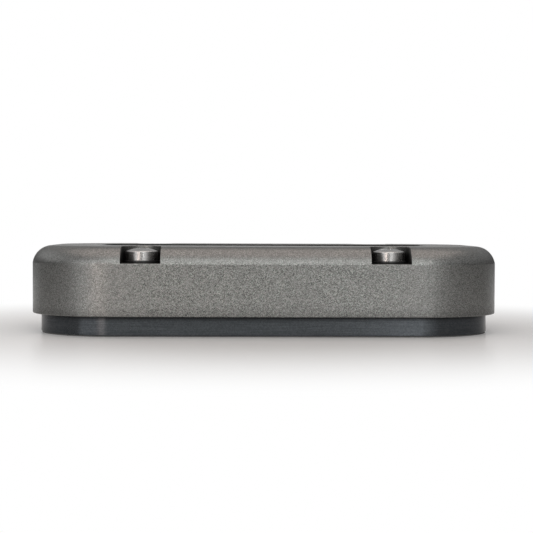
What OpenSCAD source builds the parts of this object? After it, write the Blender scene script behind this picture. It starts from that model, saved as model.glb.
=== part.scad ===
// Deck cable seal: a low machined cover over a split rubber block, screwed to a
// base ring that stands on the deck. Four cables pass up through the block.
// Millimetres. +Z is up, +X runs along the cover and the front faces -Y.
// The origin is the centre of the underside, where the seal meets the deck.

/* [Cover] */
// Length of the cover, end to end
cover_l = 140; // [136:1:170]
// Width of the cover, front to back
cover_w = 76; // [75:1:95]
// Height of the cover, from its lower edge to its top face
cover_h = 20.2; // [19:0.1:26]
// Corner radius of the cover, seen from above
cover_corner_r = 25.5; // [24:0.5:30]
// Radius rolled over the cover's top edge
cover_edge_r = 6; // [3:0.5:6.5]
// Angle from upright at which the rolled edge starts, a fine crease in the side
cover_edge_start = 8; // [0:1:12]
// Thickness of the cover's side walls
cover_wall = 5; // [4:0.5:5.5]
// Thickness of the cover's top plate
cover_top_t = 5; // [4.2:0.1:6]
// Chamfer round the cover's lower edge
cover_chamfer = 0.2; // [0.1:0.1:0.8]

/* [Cable opening] */
// Length of the opening, in the cover and in the base
opening_l = 100; // [92:1:102]
// Width of the opening, front to back
opening_w = 30; // [24:0.5:31]
// Corner radius of the opening
opening_corner_r = 8; // [5:0.5:10]
// Chamfer round the opening's edge in the cover's top face
opening_chamfer = 0.3; // [0.2:0.1:1.2]

/* [Base ring] */
// Thickness of the deck gasket
gasket_t = 0.3; // [0.3:0.1:2]
// How far the gasket stays inside the base's edge
gasket_inset = 0.2; // [0.2:0.1:1]
// How far the base stands back under the cover's edge
base_inset = 2.6; // [1.5:0.1:3.2]
// Thickness of the base's flange, the band seen under the cover
flange_t = 5.5; // [4:0.1:8]
// Chamfer round the flange's upper and lower edges
flange_chamfer = 0.2; // [0.1:0.1:0.6]
// Height of the spigot that centres the cover
spigot_h = 3; // [2:0.1:5]
// Wall of the spigot
spigot_t = 2; // [1.5:0.1:2.5]
// Gap between the spigot and the cover's wall
spigot_clear = 0.3; // [0.2:0.05:0.5]
// Wall of the seal socket at its rim
socket_wall = 2.6; // [2:0.1:3]
// Width of the ledge that the seal stands on
socket_ledge = 2.5; // [2:0.1:2.8]
// Lean of the socket's inner wall from upright, in degrees
socket_draft = 7; // [4:0.5:8]

/* [Rubber seal] */
// Thickness of the seal's flange, clamped under the cover
seal_flange_t = 3.7; // [2.5:0.1:5]
// How far the seal's top lies below the cover's top face
seal_recess = 1.5; // [0.8:0.1:3]
// Gap between the seal's raised centre and the opening's edge
seal_plug_clear = 0.3; // [0.2:0.05:0.6]
// Gap between the seal's tapered side and the socket
seal_side_clear = 0.9; // [0.7:0.1:1.2]
// Gap between the seal's ribs and the socket
seal_rib_clear = 0.3; // [0.2:0.05:0.4]
// Height of each sealing rib
seal_rib_h = 1.6; // [1:0.1:2]
// Number of sealing ribs round the seal
seal_rib_count = 3; // [1:1:3]
// Chamfer on the cable holes, along the split and round the seal's top
seal_chamfer = 0.5; // [0.3:0.1:0.8]

/* [Cables] */
// Diameters of the cable holes, from left to right
cable_d = [7.2, 11.4, 11.4, 14]; // [3:0.1:15]
// Rubber left between neighbouring cable holes
cable_web = 9.4; // [7:0.1:12]

/* [Cover screws] */
// Distance between the two screws of each long side
screw_spacing = 72; // [60:1:80]
// Distance of each screw's axis from the cover's long face
screw_inset = 8.5; // [8:0.1:9]
// Diameter of the screws
screw_d = 5; // [4:0.5:5]
// Length of the screws under the head
screw_l = 16; // [14:1:17]
// Diameter of the screw heads
screw_head_d = 9.4; // [8:0.1:10]
// Height of the screw heads
screw_head_h = 3.6; // [3.2:0.1:4]
// Radius of the dome on the screw heads
screw_dome_r = 12; // [9:0.5:24]
// Radius of the shoulder between the side and the dome of the heads
screw_shoulder_r = 0.4; // [0.3:0.1:1.2]
// Depth of the cross recess in the heads
recess_depth = 2.5; // [1.5:0.1:2.8]
// Width of the cross recess across its wings
recess_span = 4.9; // [4:0.1:5.5]
// Width of each wing of the cross recess
recess_wing = 1.1; // [0.8:0.1:1.4]
// Length of thread held in each pillar of the base
thread_held = 7; // [5:0.1:8]
// Depth left free below the screw's tip
thread_spare = 1.5; // [0.5:0.1:2]
// Radial gap between the screw and its tapped hole
thread_clear = 0.05; // [0.02:0.01:0.1]
// Diameter of the clearance holes in the cover
screw_hole_d = 5.5; // [5.2:0.1:6]
// Outer diameter of the washers
washer_d = 10; // [9:0.1:10.5]
// Thickness of the washers
washer_t = 0.8; // [0.5:0.1:1]
// Gap between the screw and its washer
washer_clear = 0.15; // [0.1:0.05:0.3]
// Width of the pockets for the heads, open to the long faces
pocket_w = 11.5; // [10.6:0.1:11.6]
// Depth of the pockets below the cover's top face
pocket_depth = 4.9; // [4:0.1:5.2]
// Wall of the bosses under the pockets
boss_wall = 1.5; // [1:0.1:1.6]
// Gap left between each boss and its pillar
boss_gap = 0.2; // [0.1:0.05:0.5]
// Diameter of the base's screw pillars
pillar_d = 9; // [8:0.5:10]
// Gap between each pillar and the relief in the cover's wall
pillar_clear = 0.3; // [0.2:0.05:0.5]

/* [Deck screws] */
// Diameter of the holes for the deck screws
deck_hole_d = 4.5; // [3.5:0.1:5]
// Diameter of their countersinks
deck_sink_d = 8.6; // [7:0.1:8.6]
// Distance of the corner holes from the spigot's inner faces
deck_corner_inset = 8.7; // [8.5:0.1:9]
// Distance of the middle holes from the spigot's inner faces
deck_middle_inset = 4.6; // [4.5:0.1:4.8]

/* [Hidden] */
$fn = 96;
// Overrun of a cut past the face it opens
past = 1;
// Steps along the profile of the cover's rolled edge
edge_steps = 16;

// Levels, from the deck up
flange_z = gasket_t;
cover_z = flange_z + flange_t;
top_z = cover_z + cover_h;
under_z = top_z - cover_top_t;
rim_z = under_z - seal_flange_t;
seal_top_z = top_z - seal_recess;
pocket_z = top_z - pocket_depth;
head_z = pocket_z + washer_t;
tip_z = head_z - screw_l;
pillar_z = tip_z + thread_held;
tap_z = tip_z - thread_spare;

// Outlines of the base, each with the corner centres of the cover
flange_l = cover_l - 2 * base_inset;
flange_w = cover_w - 2 * base_inset;
flange_r = cover_corner_r - base_inset;
spigot_inset = cover_wall + spigot_clear;
spigot_in_x = cover_l / 2 - spigot_inset - spigot_t;
spigot_in_y = cover_w / 2 - spigot_inset - spigot_t;

// Offsets of the seal and its socket from the opening's outline
socket_h = rim_z - cover_z;
socket_rim = socket_ledge + socket_h * tan(socket_draft);
socket_out = socket_rim + socket_wall;

// Places of the screws
screw_x = screw_spacing / 2;
screw_y = cover_w / 2 - screw_inset;
deck_corner_x = spigot_in_x - deck_corner_inset;
deck_corner_y = spigot_in_y - deck_corner_inset;
deck_middle_y = spigot_in_y - deck_middle_inset;
deck_sink_h = (deck_sink_d - deck_hole_d) / 2;

// Turn of each cross recess, so that no two heads look alike
turn_front_left = 24;
turn_front_right = 8;
turn_rear_left = 67;
turn_rear_right = 41;

// Sum of the first n cable diameters
function widths(n) = n == 0 ? 0 : cable_d[n - 1] + widths(n - 1);
cable_row_l = widths(len(cable_d)) + cable_web * (len(cable_d) - 1);
function cable_x(i) = -cable_row_l / 2 + widths(i) + cable_web * i + cable_d[i] / 2;

module rounded_rectangle(l, w, r) {
    square([l, w - 2 * r], center = true);
    square([l - 2 * r, w], center = true);
    for (x = [-1, 1], y = [-1, 1])
        translate([x * (l / 2 - r), y * (w / 2 - r)])
            circle(r);
}

// Rounded slab from z0 to z1
module slab(l, w, r, z0, z1) {
    translate([0, 0, z0])
        linear_extrude(z1 - z0)
            rounded_rectangle(l, w, r);
}

// Slab whose edge follows a profile: the child's x runs outwards from the corner
// centres of a rounded rectangle, and its y is the height, from z0 to z1 at x = 0
module profiled_slab(l, w, r, z0, z1) {
    cx = l / 2 - r;
    cy = w / 2 - r;
    for (i = [0 : 3])
        translate([i == 0 || i == 3 ? cx : -cx, i < 2 ? cy : -cy, 0])
            rotate([0, 0, 90 * i])
                rotate_extrude(angle = 90)
                    children();
    for (turn = [0, 180])
        rotate([0, 0, turn]) {
            translate([-cx, cy, 0])
                rotate([90, 0, 90])
                    linear_extrude(2 * cx)
                        children();
            translate([cx, cy, 0])
                rotate([90, 0, 0])
                    linear_extrude(2 * cy)
                        children();
        }
    translate([-cx, -cy, z0])
        cube([2 * cx, 2 * cy, z1 - z0]);
}

// Slab that follows the opening's outline at an offset
module opening_slab(offset_by, z0, z1) {
    slab(opening_l + 2 * offset_by, opening_w + 2 * offset_by,
         opening_corner_r + offset_by, z0, z1);
}

// Slab round the opening's outline that widens from one offset to another
module opening_taper(offset_0, offset_1, z0, z1) {
    profiled_slab(opening_l, opening_w, opening_corner_r, z0, z1)
        polygon([
            [0, z0], [opening_corner_r + offset_0, z0],
            [opening_corner_r + offset_1, z1], [0, z1]
        ]);
}

module at_cover_screws() {
    for (x = [-1, 1], y = [-1, 1])
        translate([x * screw_x, y * screw_y, 0])
            rotate([0, 0, y > 0 ? 180 : 0])
                children();
}

module at_deck_screws() {
    for (x = [-1, 1], y = [-1, 1])
        translate([x * deck_corner_x, y * deck_corner_y, 0])
            children();
    for (y = [-1, 1])
        translate([0, y * deck_middle_y, 0])
            children();
}

module deck_gasket() {
    color("#26282a")
        difference() {
            slab(flange_l - 2 * gasket_inset, flange_w - 2 * gasket_inset,
                 flange_r - gasket_inset, 0, gasket_t);
            opening_slab(0, -past, gasket_t + past);
            at_deck_screws()
                translate([0, 0, -past])
                    cylinder(h = gasket_t + 2 * past, d = deck_hole_d);
        }
}

// Flange with a fine chamfer on both of its edges
module flange() {
    profiled_slab(flange_l, flange_w, flange_r, flange_z, cover_z)
        polygon([
            [0, flange_z],
            [flange_r - flange_chamfer, flange_z],
            [flange_r, flange_z + flange_chamfer],
            [flange_r, cover_z - flange_chamfer],
            [flange_r - flange_chamfer, cover_z],
            [0, cover_z]
        ]);
}

// Low wall that centres the cover on the flange
module spigot() {
    difference() {
        slab(cover_l - 2 * spigot_inset, cover_w - 2 * spigot_inset,
             cover_corner_r - spigot_inset, cover_z - past, cover_z + spigot_h);
        slab(2 * spigot_in_x, 2 * spigot_in_y,
             cover_corner_r - spigot_inset - spigot_t, cover_z, cover_z + spigot_h + past);
    }
}

module base_ring() {
    color("dimgray")
        difference() {
            union() {
                flange();
                spigot();
                opening_slab(socket_out, cover_z - past, rim_z);
                at_cover_screws()
                    translate([0, 0, cover_z - past])
                        cylinder(h = pillar_z - cover_z + past, d = pillar_d);
            }
            opening_slab(0, flange_z - past, cover_z + past);
            opening_taper(socket_ledge, socket_rim, cover_z, rim_z);
            at_cover_screws()
                translate([0, 0, tap_z])
                    cylinder(h = pillar_z - tap_z + past, r = screw_d / 2 + thread_clear);
            at_deck_screws() {
                translate([0, 0, flange_z - past])
                    cylinder(h = flange_t + 2 * past, d = deck_hole_d);
                translate([0, 0, cover_z - deck_sink_h])
                    cylinder(h = deck_sink_h, d1 = deck_hole_d, d2 = deck_sink_d);
            }
        }
}

// Both halves of the rubber block before the split: a ribbed tapered body that
// stands in the socket, a flange that lies on its rim and a raised centre
module seal_block() {
    rib_pitch = socket_h / (seal_rib_count + 0.5);
    difference() {
        union() {
            opening_taper(socket_ledge - seal_side_clear, socket_rim - seal_side_clear,
                          cover_z, rim_z);
            for (i = [1 : seal_rib_count]) {
                rib_rise = rib_pitch * (i - 0.5);
                opening_slab(socket_ledge + rib_rise * tan(socket_draft) - seal_rib_clear,
                             cover_z + rib_rise, cover_z + rib_rise + seal_rib_h);
            }
            opening_slab(socket_out, rim_z, under_z);
            opening_slab(-seal_plug_clear, under_z - past, seal_top_z - seal_chamfer);
            opening_taper(-seal_plug_clear, -seal_plug_clear - seal_chamfer,
                          seal_top_z - seal_chamfer, seal_top_z);
        }
        for (i = [0 : len(cable_d) - 1])
            translate([cable_x(i), 0, 0])
                cable_hole(cable_d[i]);
        split_chamfer();
    }
}

// Hole for one cable, with a chamfered mouth at the top and the bottom
module cable_hole(d) {
    translate([0, 0, cover_z - past])
        cylinder(h = seal_top_z - cover_z + 2 * past, d = d);
    translate([0, 0, seal_top_z - seal_chamfer])
        cylinder(h = seal_chamfer + past, d1 = d, d2 = d + 2 * (seal_chamfer + past));
    translate([0, 0, cover_z - past])
        cylinder(h = seal_chamfer + past, d1 = d + 2 * (seal_chamfer + past), d2 = d);
}

// Shallow vee along the top of the split
module split_chamfer() {
    translate([-opening_l / 2, 0, seal_top_z])
        rotate([45, 0, 0])
            translate([0, -seal_chamfer / 2, -seal_chamfer / 2])
                cube([opening_l, seal_chamfer, seal_chamfer]);
}

// One half of the block: side is -1 for the front and 1 for the rear
module seal_half(side) {
    reach_x = opening_l / 2 + socket_out + past;
    reach_y = opening_w / 2 + socket_out + past;
    intersection() {
        seal_block();
        translate([-reach_x, side < 0 ? -reach_y : 0, 0])
            cube([2 * reach_x, reach_y, top_z]);
    }
}

module seal_front() {
    color("#1c1c1e")
        seal_half(-1);
}

module seal_rear() {
    color("#1c1c1e")
        seal_half(1);
}

// Cover before it is hollowed: upright sides and a rolled top edge
module cover_blank() {
    profiled_slab(cover_l, cover_w, cover_corner_r, cover_z, top_z) {
        flat_r = cover_corner_r - cover_edge_r * cos(cover_edge_start);
        roll_z = top_z - cover_edge_r;
        polygon([
            [0, cover_z],
            [cover_corner_r - cover_chamfer, cover_z],
            [cover_corner_r, cover_z + cover_chamfer],
            for (i = [0 : edge_steps])
                let (a = cover_edge_start + (90 - cover_edge_start) * i / edge_steps)
                    [flat_r + cover_edge_r * cos(a), roll_z + cover_edge_r * sin(a)],
            [0, top_z]
        ]);
    }
}

// Slot for one screw head, cut down from the top face and out through the side
module head_pocket() {
    translate([0, 0, pocket_z])
        cylinder(h = pocket_depth + past, d = pocket_w);
    translate([-pocket_w / 2, -screw_inset - past, pocket_z])
        cube([pocket_w, screw_inset + past, pocket_depth + past]);
}

module cover() {
    color("gray")
        difference() {
            cover_blank();
            difference() {
                slab(cover_l - 2 * cover_wall, cover_w - 2 * cover_wall,
                     cover_corner_r - cover_wall, cover_z - past, under_z);
                at_cover_screws()
                    translate([0, 0, pillar_z + boss_gap])
                        cylinder(h = top_z - pillar_z, d = pocket_w + 2 * boss_wall);
            }
            opening_slab(0, under_z - past, top_z + past);
            opening_taper(0, opening_chamfer + past, top_z - opening_chamfer, top_z + past);
            at_cover_screws() {
                head_pocket();
                translate([0, 0, pillar_z])
                    cylinder(h = cover_h, d = screw_hole_d);
                translate([0, 0, cover_z - past])
                    cylinder(h = pillar_z + boss_gap - cover_z + past,
                             r = pillar_d / 2 + pillar_clear);
            }
        }
}

// Half section of the head: an upright side and a dome, with a rounded shoulder
// that meets both of them smoothly
module head_section() {
    core_r = screw_head_d / 2 - screw_shoulder_r;
    dome_z = screw_head_h - screw_dome_r;
    inner_r = screw_dome_r - screw_shoulder_r;
    shoulder_z = dome_z + sqrt(inner_r * inner_r - core_r * core_r);
    dome_l = core_r * screw_dome_r / inner_r;
    square([screw_head_d / 2, shoulder_z]);
    translate([core_r, shoulder_z])
        circle(screw_shoulder_r);
    intersection() {
        square([dome_l, screw_head_h]);
        translate([0, dome_z])
            circle(screw_dome_r);
    }
}

module cross_recess() {
    floor_z = screw_head_h - recess_depth;
    floor_share = 0.45;
    for (turn = [0, 90])
        rotate([0, 0, turn])
            rotate([90, 0, 0])
                translate([0, 0, -recess_wing / 2])
                    linear_extrude(recess_wing)
                        polygon([
                            [-recess_span / 2 * floor_share, floor_z],
                            [recess_span / 2 * floor_share, floor_z],
                            [recess_span / 2, screw_head_h],
                            [-recess_span / 2, screw_head_h]
                        ]);
}

// Pan head screw: x and y give its side of the cover, turn the way its recess lies
module cover_screw(x, y, turn) {
    color("silver")
        translate([x * screw_x, y * screw_y, head_z])
            rotate([0, 0, turn])
                difference() {
                    union() {
                        rotate_extrude()
                            head_section();
                        translate([0, 0, -screw_l])
                            cylinder(h = screw_l + past, d = screw_d);
                    }
                    cross_recess();
                }
}

module screw_washer(x, y) {
    color("#202020")
        translate([x * screw_x, y * screw_y, pocket_z])
            difference() {
                cylinder(h = washer_t, d = washer_d);
                translate([0, 0, -past])
                    cylinder(h = washer_t + 2 * past, d = screw_d + 2 * washer_clear);
            }
}

deck_gasket();
base_ring();
seal_front();
seal_rear();
cover();
cover_screw(-1, -1, turn_front_left);  // cover_screw_front_left
cover_screw(1, -1, turn_front_right);  // cover_screw_front_right
cover_screw(-1, 1, turn_rear_left);  // cover_screw_rear_left
cover_screw(1, 1, turn_rear_right);  // cover_screw_rear_right
screw_washer(-1, -1);  // screw_washer_front_left
screw_washer(1, -1);  // screw_washer_front_right
screw_washer(-1, 1);  // screw_washer_rear_left
screw_washer(1, 1);  // screw_washer_rear_right
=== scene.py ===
import math

import bpy
from mathutils import Euler, Matrix, Vector

# Looks, light and camera for the deck cable seal. Everything is in metres, in the
# part's own frame: the deck is z = 0, +X runs along the cover, the front faces -Y.

MM = 0.001

# The photograph, and the camera fitted to it
FRAME_PX = 533
FOCAL_PX = 1352.5
SENSOR_MM = 36
CAMERA_PLACE = Vector((-8.4, -424, 32.5)) * MM
CAMERA_HEADING = math.radians(1.26)
CAMERA_PITCH = math.radians(-1.79)
CAMERA_ROLL = math.radians(0.21)
CAMERA_CLIP = 10 * MM

# Radii rolled over the machined and moulded edges that are sharper than an angle, and
# how close points are merged before that
COVER_EDGE = 0.1 * MM
BASE_EDGE = 0.08 * MM
RUBBER_EDGE = 0.25 * MM
WASHER_EDGE = 0.12 * MM
SCREW_EDGE = 0.08 * MM
EDGE_ANGLE = math.radians(28)
WELD_REACH = 0.002 * MM

# Width of the worn line along an edge, and the cosines between the rounded and the true
# normal where a face counts as flat and where it counts as an edge
WORN_REACH = 0.25 * MM
FLAT_COSINE = 0.995
EDGE_COSINE = 0.8

# How far a narrow gap gathers painted shade, and the share of open directions where it
# is unshaded and where it is fully shaded
COVER_SHADE_REACH = 3 * MM
RING_SHADE_REACH = 2.5 * MM
UNSHADED_OPENNESS = 0.9
SHADED_OPENNESS = 0.4

# Heights between which the painted shade along the cover's lower edge fades out, and
# between which the unshaded lower part of the base ring gives way to painted shade under
# the cover
LOW_EDGE_BOTTOM = 5.5 * MM
LOW_EDGE_TOP = 9.5 * MM
LOW_EDGE_SHADE = 0.35
RING_UNSHADED = 2.2 * MM
RING_SHADED = 4.2 * MM

# Where the cover's grain grows fainter: heights on its rolled top edge, and distances
# from the middle towards its ends
ROLL_START = 20.6 * MM
ROLL_FULL = 21.8 * MM
ROLL_SHARE = 0.45
ENDS_START = 32 * MM
ENDS_FULL = 44 * MM
ENDS_SHARE = 0.3

# Half sizes of the box that holds the window's rim, and the height just under the
# cover's top plane
WINDOW_X = 54 * MM
WINDOW_Y = 20 * MM
TOP_PLANE = 25.97 * MM

# Metal colours: the darkest and the lightest grain, each somewhere between two tints
COVER_DARK = (0.036, 0.046, 0.036, 1), (0.042, 0.04, 0.045, 1)
COVER_LIGHT = (0.48, 0.53, 0.5, 1), (0.53, 0.5, 0.49, 1)
RING_DARK = (0.058, 0.065, 0.072, 1), (0.083, 0.09, 0.098, 1)
RING_LIGHT = (0.079, 0.087, 0.096, 1), (0.11, 0.119, 0.129, 1)

# Lamp colours
WARM_COLOUR = (1.14, 0.98, 0.9)
KEY_COLOUR = (0.985, 1.0, 0.965)
PLAIN_COLOUR = (1, 1, 1)

# Lamps, aimed at a point in the part: azimuth and elevation in degrees, then distance,
# width, height, radiance and colour. Azimuth 0 is in front, on the camera's side, and
# goes up towards +X. Radiance is what a mirror would show of the lamp.
LAMP_AIM = Vector((0, 0, 15)) * MM
LAMPS = {
    "key": (3, 30, 1.0, 0.8, 0.72, 1.16, KEY_COLOUR),
    "top": (0, 88, 0.9, 1.3, 1.1, 0.56, WARM_COLOUR),
    "left_strip": (-22, 7, 0.9, 0.15, 0.26, 3, WARM_COLOUR),
    "left_panel": (-41, 16, 0.9, 0.42, 0.45, 1.2, PLAIN_COLOUR),
    "left_wall": (-110, 26, 0.9, 0.9, 0.35, 0.32, PLAIN_COLOUR),
    "right_strip": (12, 8, 0.9, 0.08, 0.3, 2.9, PLAIN_COLOUR),
    "right_panel": (26, 14, 0.9, 0.28, 0.45, 0.6, PLAIN_COLOUR),
}

# The room's grey levels, and where they go over into each other along Y and Z of the
# direction looked in. Past the last two, shiny surfaces mirror a white backdrop.
ROOM_FRONT = 0.14
ROOM_SIDE = 0.09
ROOM_HIGH = 0.36
SIDE_Y, FRONT_Y = 0.2, -0.9
LOW_Z, HIGH_Z = 0.08, 0.45
BACKDROP_EDGE = 0.96
BACKDROP_FULL = 0.985

# Floor: its half size, the distances from the part between which it turns white for
# the camera, and the places along Y between which it turns white in mirrored rays
FLOOR_TONE = 0.94
FLOOR_ROUGHNESS = 0.3
FLOOR_SHINE = 0.25
FLOOR_REACH = 300 * MM
FLOOR_PALE = 55 * MM
FLOOR_WHITE = 170 * MM
MIRRORED_PALE = 40 * MM
MIRRORED_WHITE = 140 * MM
FLOOR_DROP = 0.02 * MM


def feed(tree, socket, value):
    """Sets a socket to a value, or links it to another node's output."""
    if isinstance(value, bpy.types.NodeSocket):
        tree.links.new(value, socket)
    else:
        socket.default_value = value


def fill(tree, node, inputs):
    """Feeds several inputs of a node, given by name or number."""
    for name, value in inputs.items():
        feed(tree, node.inputs[name], value)


def add(tree, kind, inputs=None, **settings):
    """Adds a node with its settings and its inputs."""
    node = tree.nodes.new("ShaderNode" + kind)
    for name, value in settings.items():
        setattr(node, name, value)
    fill(tree, node, inputs or {})
    return node


def grey(level, warmth=0.0):
    """A linear grey, a little redder and less blue as its warmth goes up."""
    return (level * (1 + warmth), level, level * (1 - warmth), 1)


def place(tree, stretch=None):
    """The point being shaded, in metres in the part's frame, scaled along each axis."""
    point = add(tree, "TexCoord").outputs["Object"]
    if stretch is None:
        return point
    return add(tree, "Mapping", {"Vector": point, "Scale": stretch}).outputs["Vector"]


def coordinates(tree, vector):
    """The X, Y and Z of a vector."""
    return add(tree, "SeparateXYZ", {"Vector": vector}).outputs


def noise(tree, point, size, detail):
    """Noise from 0 to 1 with features about size metres across."""
    inputs = {"Vector": point, "Scale": 1 / size, "Detail": detail}
    return add(tree, "TexNoise", inputs).outputs["Fac"]


def remap(tree, value, low, high, to_low=0.0, to_high=1.0):
    """Maps low..high of a value to to_low..to_high, clamped, with soft ends."""
    inputs = {"Value": value, "From Min": low, "From Max": high,
              "To Min": to_low, "To Max": to_high}
    return add(tree, "MapRange", inputs, interpolation_type="SMOOTHSTEP").outputs["Result"]


def maths(tree, operation, *values, clamp=False):
    """A sum on one to three values."""
    inputs = dict(enumerate(values))
    return add(tree, "Math", inputs, operation=operation, use_clamp=clamp).outputs[0]


def mix_colour(tree, share, first, second):
    """The first colour, going over into the second as share goes from 0 to 1."""
    node = add(tree, "Mix", data_type="RGBA")
    sockets = {socket.name: socket for socket in node.inputs if socket.enabled}
    for name, value in (("Factor", share), ("A", first), ("B", second)):
        feed(tree, sockets[name], value)
    return next(socket for socket in node.outputs if socket.enabled)


def bump(tree, height, distance, strength, normal=None):
    """A normal that is tilted by a height, on top of another normal if one is given."""
    inputs = {"Height": height, "Distance": distance, "Strength": strength}
    if normal is not None:
        inputs["Normal"] = normal
    return add(tree, "Bump", inputs).outputs["Normal"]


def start_material(name):
    """A new material, its node tree and its shader."""
    material = bpy.data.materials.new(name)
    material.use_nodes = True
    tree = material.node_tree
    return material, tree, tree.nodes["Principled BSDF"]


def edge_share(tree, radius):
    """How near a point is to a convex or concave edge, from 0 to 1."""
    rounded = add(tree, "Bevel", {"Radius": radius}, samples=6).outputs["Normal"]
    true = add(tree, "NewGeometry").outputs["Normal"]
    facing = add(tree, "VectorMath", {0: rounded, 1: true}, operation="DOT_PRODUCT")
    return remap(tree, facing.outputs["Value"], FLAT_COSINE, EDGE_COSINE)


def worn_edges(tree, colour, share, bare):
    """A colour with a share of the bare metal showing along the edges."""
    wear = maths(tree, "MULTIPLY", edge_share(tree, WORN_REACH), share)
    return mix_colour(tree, wear, colour, bare)


def speckle(tree, point, size):
    """Three random values from 0 to 1 for each grain of about size metres across."""
    cells = add(tree, "TexVoronoi", {"Vector": point, "Scale": 1 / size})
    return add(tree, "SeparateColor", {"Color": cells.outputs["Color"]}).outputs


def crevice_shade(tree, reach):
    """How much painted shade a point gets from lying in a narrow gap, from 0 in the open to
    1 deep inside.
    """
    open_share = add(tree, "AmbientOcclusion", {"Distance": reach}, samples=8).outputs["AO"]
    return remap(tree, open_share, UNSHADED_OPENNESS, SHADED_OPENNESS)


def in_window(tree, from_middle, across, height):
    """1 on the rim and walls of the cover's window, and 0 on its top plane."""
    share = remap(tree, from_middle, WINDOW_X, WINDOW_X - MM)
    for value, limit in ((maths(tree, "ABSOLUTE", across), WINDOW_Y), (height, TOP_PLANE)):
        share = maths(tree, "MULTIPLY", share, maths(tree, "LESS_THAN", value, limit))
    return share


def blasted_aluminium():
    """Grey anodised aluminium with a fine bead-blasted grain, fainter on its rolled edge
    and at its ends, with painted shade in its pockets and other narrow gaps, along its
    lower edge and on its window's rim."""
    material, tree, shader = start_material("blasted_aluminium")
    point = place(tree)
    along, across, height = coordinates(tree, point)
    from_middle = maths(tree, "ABSOLUTE", along)
    fine, tint, dent = speckle(tree, point, size=0.18 * MM)
    coarse = noise(tree, point, size=0.8 * MM, detail=2)
    cloud = noise(tree, point, size=14 * MM, detail=3)
    colour = mix_colour(tree, fine, mix_colour(tree, tint, *COVER_DARK),
                        mix_colour(tree, tint, *COVER_LIGHT))
    colour = mix_colour(tree, remap(tree, coarse, 0.35, 0.65, to_high=0.35),
                        colour, grey(0.225, 0.01))
    mean = grey(0.26, 0.01)
    colour = mix_colour(tree, remap(tree, cloud, 0.3, 0.75, to_high=0.15),
                        colour, mean)
    rolled = remap(tree, height, ROLL_START, ROLL_FULL, to_high=ROLL_SHARE)
    ends = remap(tree, from_middle, ENDS_START, ENDS_FULL, to_high=ENDS_SHARE)
    colour = mix_colour(tree, maths(tree, "MAXIMUM", rolled, ends), colour, mean)
    colour = worn_edges(tree, colour, share=0.35, bare=grey(0.42, 0.01))
    # Painted shade: darker in the pockets and other narrow gaps, where little of the room
    # is open
    colour = mix_colour(tree, crevice_shade(tree, COVER_SHADE_REACH), colour, grey(0.1))
    # Painted shade: darker towards the cover's lower edge, fading out upward
    low = remap(tree, height, LOW_EDGE_BOTTOM, LOW_EDGE_TOP,
                to_low=LOW_EDGE_SHADE, to_high=0)
    colour = mix_colour(tree, low, colour, grey(0.06))
    # Painted shade: the window's rim and walls near black
    window = in_window(tree, from_middle, across, height)
    pits = bump(tree, dent, distance=0.01 * MM, strength=0.4)
    fill(tree, shader, {
        "Base Color": mix_colour(tree, window, colour, grey(0.04)),
        "Metallic": 1,
        "Roughness": remap(tree, coarse, 0.3, 0.7, 0.34, 0.42),
        "Normal": bump(tree, coarse, distance=0.02 * MM, strength=0.3, normal=pits),
    })
    return material


def turned_aluminium():
    """Dark anodised aluminium with fine tool lines that run round the ring and
    spread what it mirrors up and down."""
    material, tree, shader = start_material("turned_aluminium")
    point = place(tree)
    height = coordinates(tree, point)["Z"]
    lines = noise(tree, place(tree, (0.02, 0.02, 1)), size=0.22 * MM, detail=3)
    cloud = noise(tree, point, size=9 * MM, detail=3)
    fine = speckle(tree, point, size=0.3 * MM)[0]
    colour = mix_colour(tree, remap(tree, lines, 0.3, 0.7),
                        mix_colour(tree, fine, *RING_DARK),
                        mix_colour(tree, fine, *RING_LIGHT))
    colour = worn_edges(tree, colour, share=0.3, bare=grey(0.3))
    # Painted shade: the base ring darker in the narrow gap under the cover's overhang
    overhang_shade = maths(tree, "MULTIPLY", crevice_shade(tree, RING_SHADE_REACH),
                 remap(tree, height, RING_UNSHADED, RING_SHADED))
    round_ring = add(tree, "Tangent", direction_type="RADIAL", axis="Z")
    fill(tree, shader, {
        "Base Color": mix_colour(tree, overhang_shade, colour, grey(0.012)),
        "Metallic": 1,
        "Roughness": remap(tree, cloud, 0.3, 0.7, 0.27, 0.33),
        "Anisotropic": 0.94,
        "Anisotropic Rotation": 0.25,
        "Tangent": round_ring.outputs["Tangent"],
        "Normal": bump(tree, lines, distance=0.01 * MM, strength=0.25),
    })
    return material


def polished_steel():
    """Stainless steel with light handling marks."""
    material, tree, shader = start_material("polished_steel")
    haze = noise(tree, place(tree), size=1.8 * MM, detail=3)
    marks = noise(tree, place(tree, (1, 0.08, 1)), size=0.12 * MM, detail=2)
    fill(tree, shader, {
        "Base Color": mix_colour(tree, haze, grey(0.54, 0.012), grey(0.64, 0.01)),
        "Metallic": 1,
        "Roughness": remap(tree, haze, 0.3, 0.7, 0.25, 0.32),
        "Normal": bump(tree, marks, distance=0.004 * MM, strength=0.15),
    })
    return material


def moulded_rubber():
    """Black rubber with a fine moulded skin and a little dust."""
    material, tree, shader = start_material("moulded_rubber")
    point = place(tree)
    skin = noise(tree, point, size=0.4 * MM, detail=3)
    dust = noise(tree, point, size=5 * MM, detail=5)
    dusty = remap(tree, dust, 0.5, 0.8, to_high=0.6)
    fill(tree, shader, {
        "Base Color": mix_colour(tree, dusty, grey(0.016), grey(0.045, 0.02)),
        "Specular IOR Level": 0.45,
        "Roughness": remap(tree, dust, 0.3, 0.75, 0.42, 0.66),
        "Normal": bump(tree, skin, distance=0.02 * MM, strength=0.3),
    })
    return material


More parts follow.
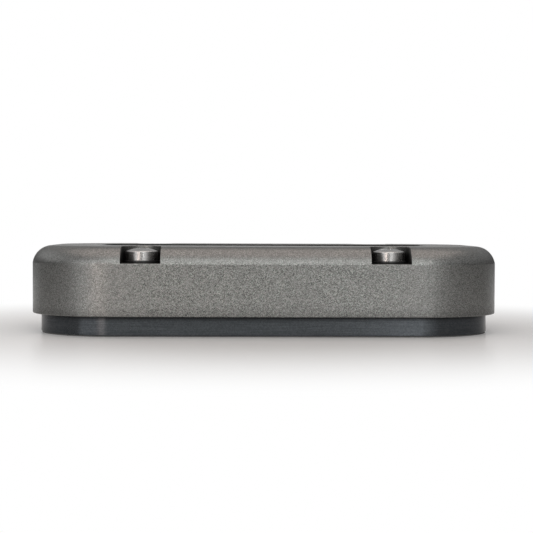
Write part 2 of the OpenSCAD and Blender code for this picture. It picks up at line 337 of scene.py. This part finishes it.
def gasket_rubber():
    """Dull grey sheet rubber with cut edges."""
    material, tree, shader = start_material("gasket_rubber")
    skin = noise(tree, place(tree), size=0.25 * MM, detail=4)
    fill(tree, shader, {
        "Base Color": mix_colour(tree, skin, grey(0.1), grey(0.15, 0.01)),
        "Specular IOR Level": 0.35,
        "Roughness": remap(tree, skin, 0.3, 0.7, 0.6, 0.8),
        "Normal": bump(tree, skin, distance=0.03 * MM, strength=0.4),
    })
    return material


def washer_plastic():
    """Black nylon, smooth with faint flow marks."""
    material, tree, shader = start_material("washer_plastic")
    flow = noise(tree, place(tree), size=1.2 * MM, detail=3)
    fill(tree, shader, {
        "Base Color": mix_colour(tree, flow, grey(0.012), grey(0.024)),
        "Specular IOR Level": 0.5,
        "Roughness": remap(tree, flow, 0.3, 0.7, 0.3, 0.42),
        "Normal": bump(tree, flow, distance=0.01 * MM, strength=0.2),
    })
    return material


def dress(node, material, edge):
    """Gives a CAD node its finish, and rolls its sharp edges over by a small radius."""
    for slot in node.material_slots:
        slot.material = material
    weld = node.modifiers.new("weld", "WELD")
    weld.merge_threshold = WELD_REACH
    roll = node.modifiers.new("edges", "BEVEL")
    roll.limit_method = "ANGLE"
    roll.angle_limit = EDGE_ANGLE
    roll.width = edge
    roll.segments = 2
    roll.use_clamp_overlap = True
    roll.harden_normals = False
    smooth = node.modifiers.new("normals", "WEIGHTED_NORMAL")
    smooth.keep_sharp = False
    smooth.weight = 100


def softbox(name, azimuth, elevation, distance, width, height, radiance, colour):
    """A rectangular lamp, placed by the angles it is seen at from the part."""
    turn, lift = math.radians(azimuth), math.radians(elevation)
    towards = Vector((math.sin(turn) * math.cos(lift), -math.cos(turn) * math.cos(lift),
                      math.sin(lift)))
    lamp = bpy.data.lights.new(name, "AREA")
    lamp.shape = "RECTANGLE"
    lamp.size = width
    lamp.size_y = height
    lamp.energy = radiance * math.pi * width * height
    lamp.color = colour
    box = bpy.data.objects.new(name, lamp)
    box.location = LAMP_AIM + towards * distance
    box.rotation_euler = towards.to_track_quat("Z", "Y").to_euler()
    bpy.context.scene.collection.objects.link(box)


def ray_kinds(tree):
    """Whether a ray comes from the camera, and whether it left a shiny or clear surface."""
    path = add(tree, "LightPath").outputs
    return path["Is Camera Ray"], maths(tree, "ADD", path["Is Glossy Ray"],
                                        path["Is Transmission Ray"])


def light_room():
    """A room that is grey in front, dim at the sides and white behind the part."""
    world = bpy.data.worlds.new("room")
    bpy.context.scene.world = world
    world.use_nodes = True
    tree = world.node_tree
    direction = coordinates(tree, add(tree, "TexCoord").outputs["Generated"])
    ahead = remap(tree, direction["Y"], SIDE_Y, FRONT_Y)
    high = remap(tree, direction["Z"], LOW_Z, HIGH_Z)
    behind = remap(tree, direction["Y"], BACKDROP_EDGE, BACKDROP_FULL)
    from_camera, mirrored = ray_kinds(tree)
    white = maths(tree, "MULTIPLY_ADD", mirrored, behind, from_camera, clamp=True)
    low = mix_colour(tree, ahead, grey(ROOM_SIDE), grey(ROOM_FRONT))
    room = mix_colour(tree, high, low, grey(ROOM_HIGH))
    fill(tree, tree.nodes["Background"], {
        "Color": mix_colour(tree, white, room, grey(1)),
        "Strength": 1,
    })


def pale_floor():
    """Plain pale floor that goes over into the white background away from the part."""
    mesh = bpy.data.meshes.new("floor")
    corners = [(x * FLOOR_REACH, y * FLOOR_REACH, -FLOOR_DROP)
               for x, y in ((-1, -1), (1, -1), (1, 1), (-1, 1))]
    mesh.from_pydata(corners, [], [(0, 1, 2, 3)])
    floor = bpy.data.objects.new("floor", mesh)
    bpy.context.scene.collection.objects.link(floor)
    material, tree, shader = start_material("pale_floor")
    mesh.materials.append(material)
    fill(tree, shader, {
        "Base Color": grey(FLOOR_TONE),
        "Roughness": FLOOR_ROUGHNESS,
        "Specular IOR Level": FLOOR_SHINE,
    })
    point = place(tree)
    away = add(tree, "VectorMath", {0: point}, operation="LENGTH").outputs["Value"]
    from_camera, mirrored = ray_kinds(tree)
    seen = maths(tree, "MULTIPLY", remap(tree, away, FLOOR_PALE, FLOOR_WHITE), from_camera)
    behind = remap(tree, coordinates(tree, point)["Y"], MIRRORED_PALE, MIRRORED_WHITE)
    share = maths(tree, "MULTIPLY_ADD", mirrored, behind, seen, clamp=True)
    white = add(tree, "Emission", {"Color": grey(1), "Strength": 1})
    blend = add(tree, "MixShader", {0: share, 1: shader.outputs[0], 2: white.outputs[0]})
    tree.links.new(blend.outputs[0], tree.nodes["Material Output"].inputs["Surface"])


def set_camera():
    """The photograph's view."""
    camera = bpy.data.cameras.new("camera")
    camera.sensor_width = SENSOR_MM
    camera.lens = SENSOR_MM * FOCAL_PX / FRAME_PX
    camera.clip_start = CAMERA_CLIP
    view = bpy.data.objects.new("camera", camera)
    upright = Euler((math.radians(90) + CAMERA_PITCH, 0, -CAMERA_HEADING)).to_matrix()
    view.matrix_world = Matrix.Translation(CAMERA_PLACE) @ (
        upright @ Matrix.Rotation(CAMERA_ROLL, 3, "Z")).to_4x4()
    bpy.context.scene.collection.objects.link(view)
    bpy.context.scene.camera = view


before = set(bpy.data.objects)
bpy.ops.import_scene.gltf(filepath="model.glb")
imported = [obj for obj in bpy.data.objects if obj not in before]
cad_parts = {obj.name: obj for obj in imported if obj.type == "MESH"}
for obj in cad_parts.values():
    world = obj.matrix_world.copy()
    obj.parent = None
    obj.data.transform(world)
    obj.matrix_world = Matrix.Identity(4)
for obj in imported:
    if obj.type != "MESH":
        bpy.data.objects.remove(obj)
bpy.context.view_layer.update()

# The finish of each family of nodes, by the start of their names
FINISHES = {
    "cover": (blasted_aluminium(), COVER_EDGE),
    "base_ring": (turned_aluminium(), BASE_EDGE),
    "cover_screw": (polished_steel(), SCREW_EDGE),
    "seal": (moulded_rubber(), RUBBER_EDGE),
    "deck_gasket": (gasket_rubber(), BASE_EDGE),
    "screw_washer": (washer_plastic(), WASHER_EDGE),
}
for name, node in sorted(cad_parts.items()):
    family = max((key for key in FINISHES if name.startswith(key)), key=len)
    dress(node, *FINISHES[family])

set_camera()
light_room()
for name, values in LAMPS.items():
    softbox(name, *values)
pale_floor()
bpy.context.scene.view_settings.view_transform = "Standard"
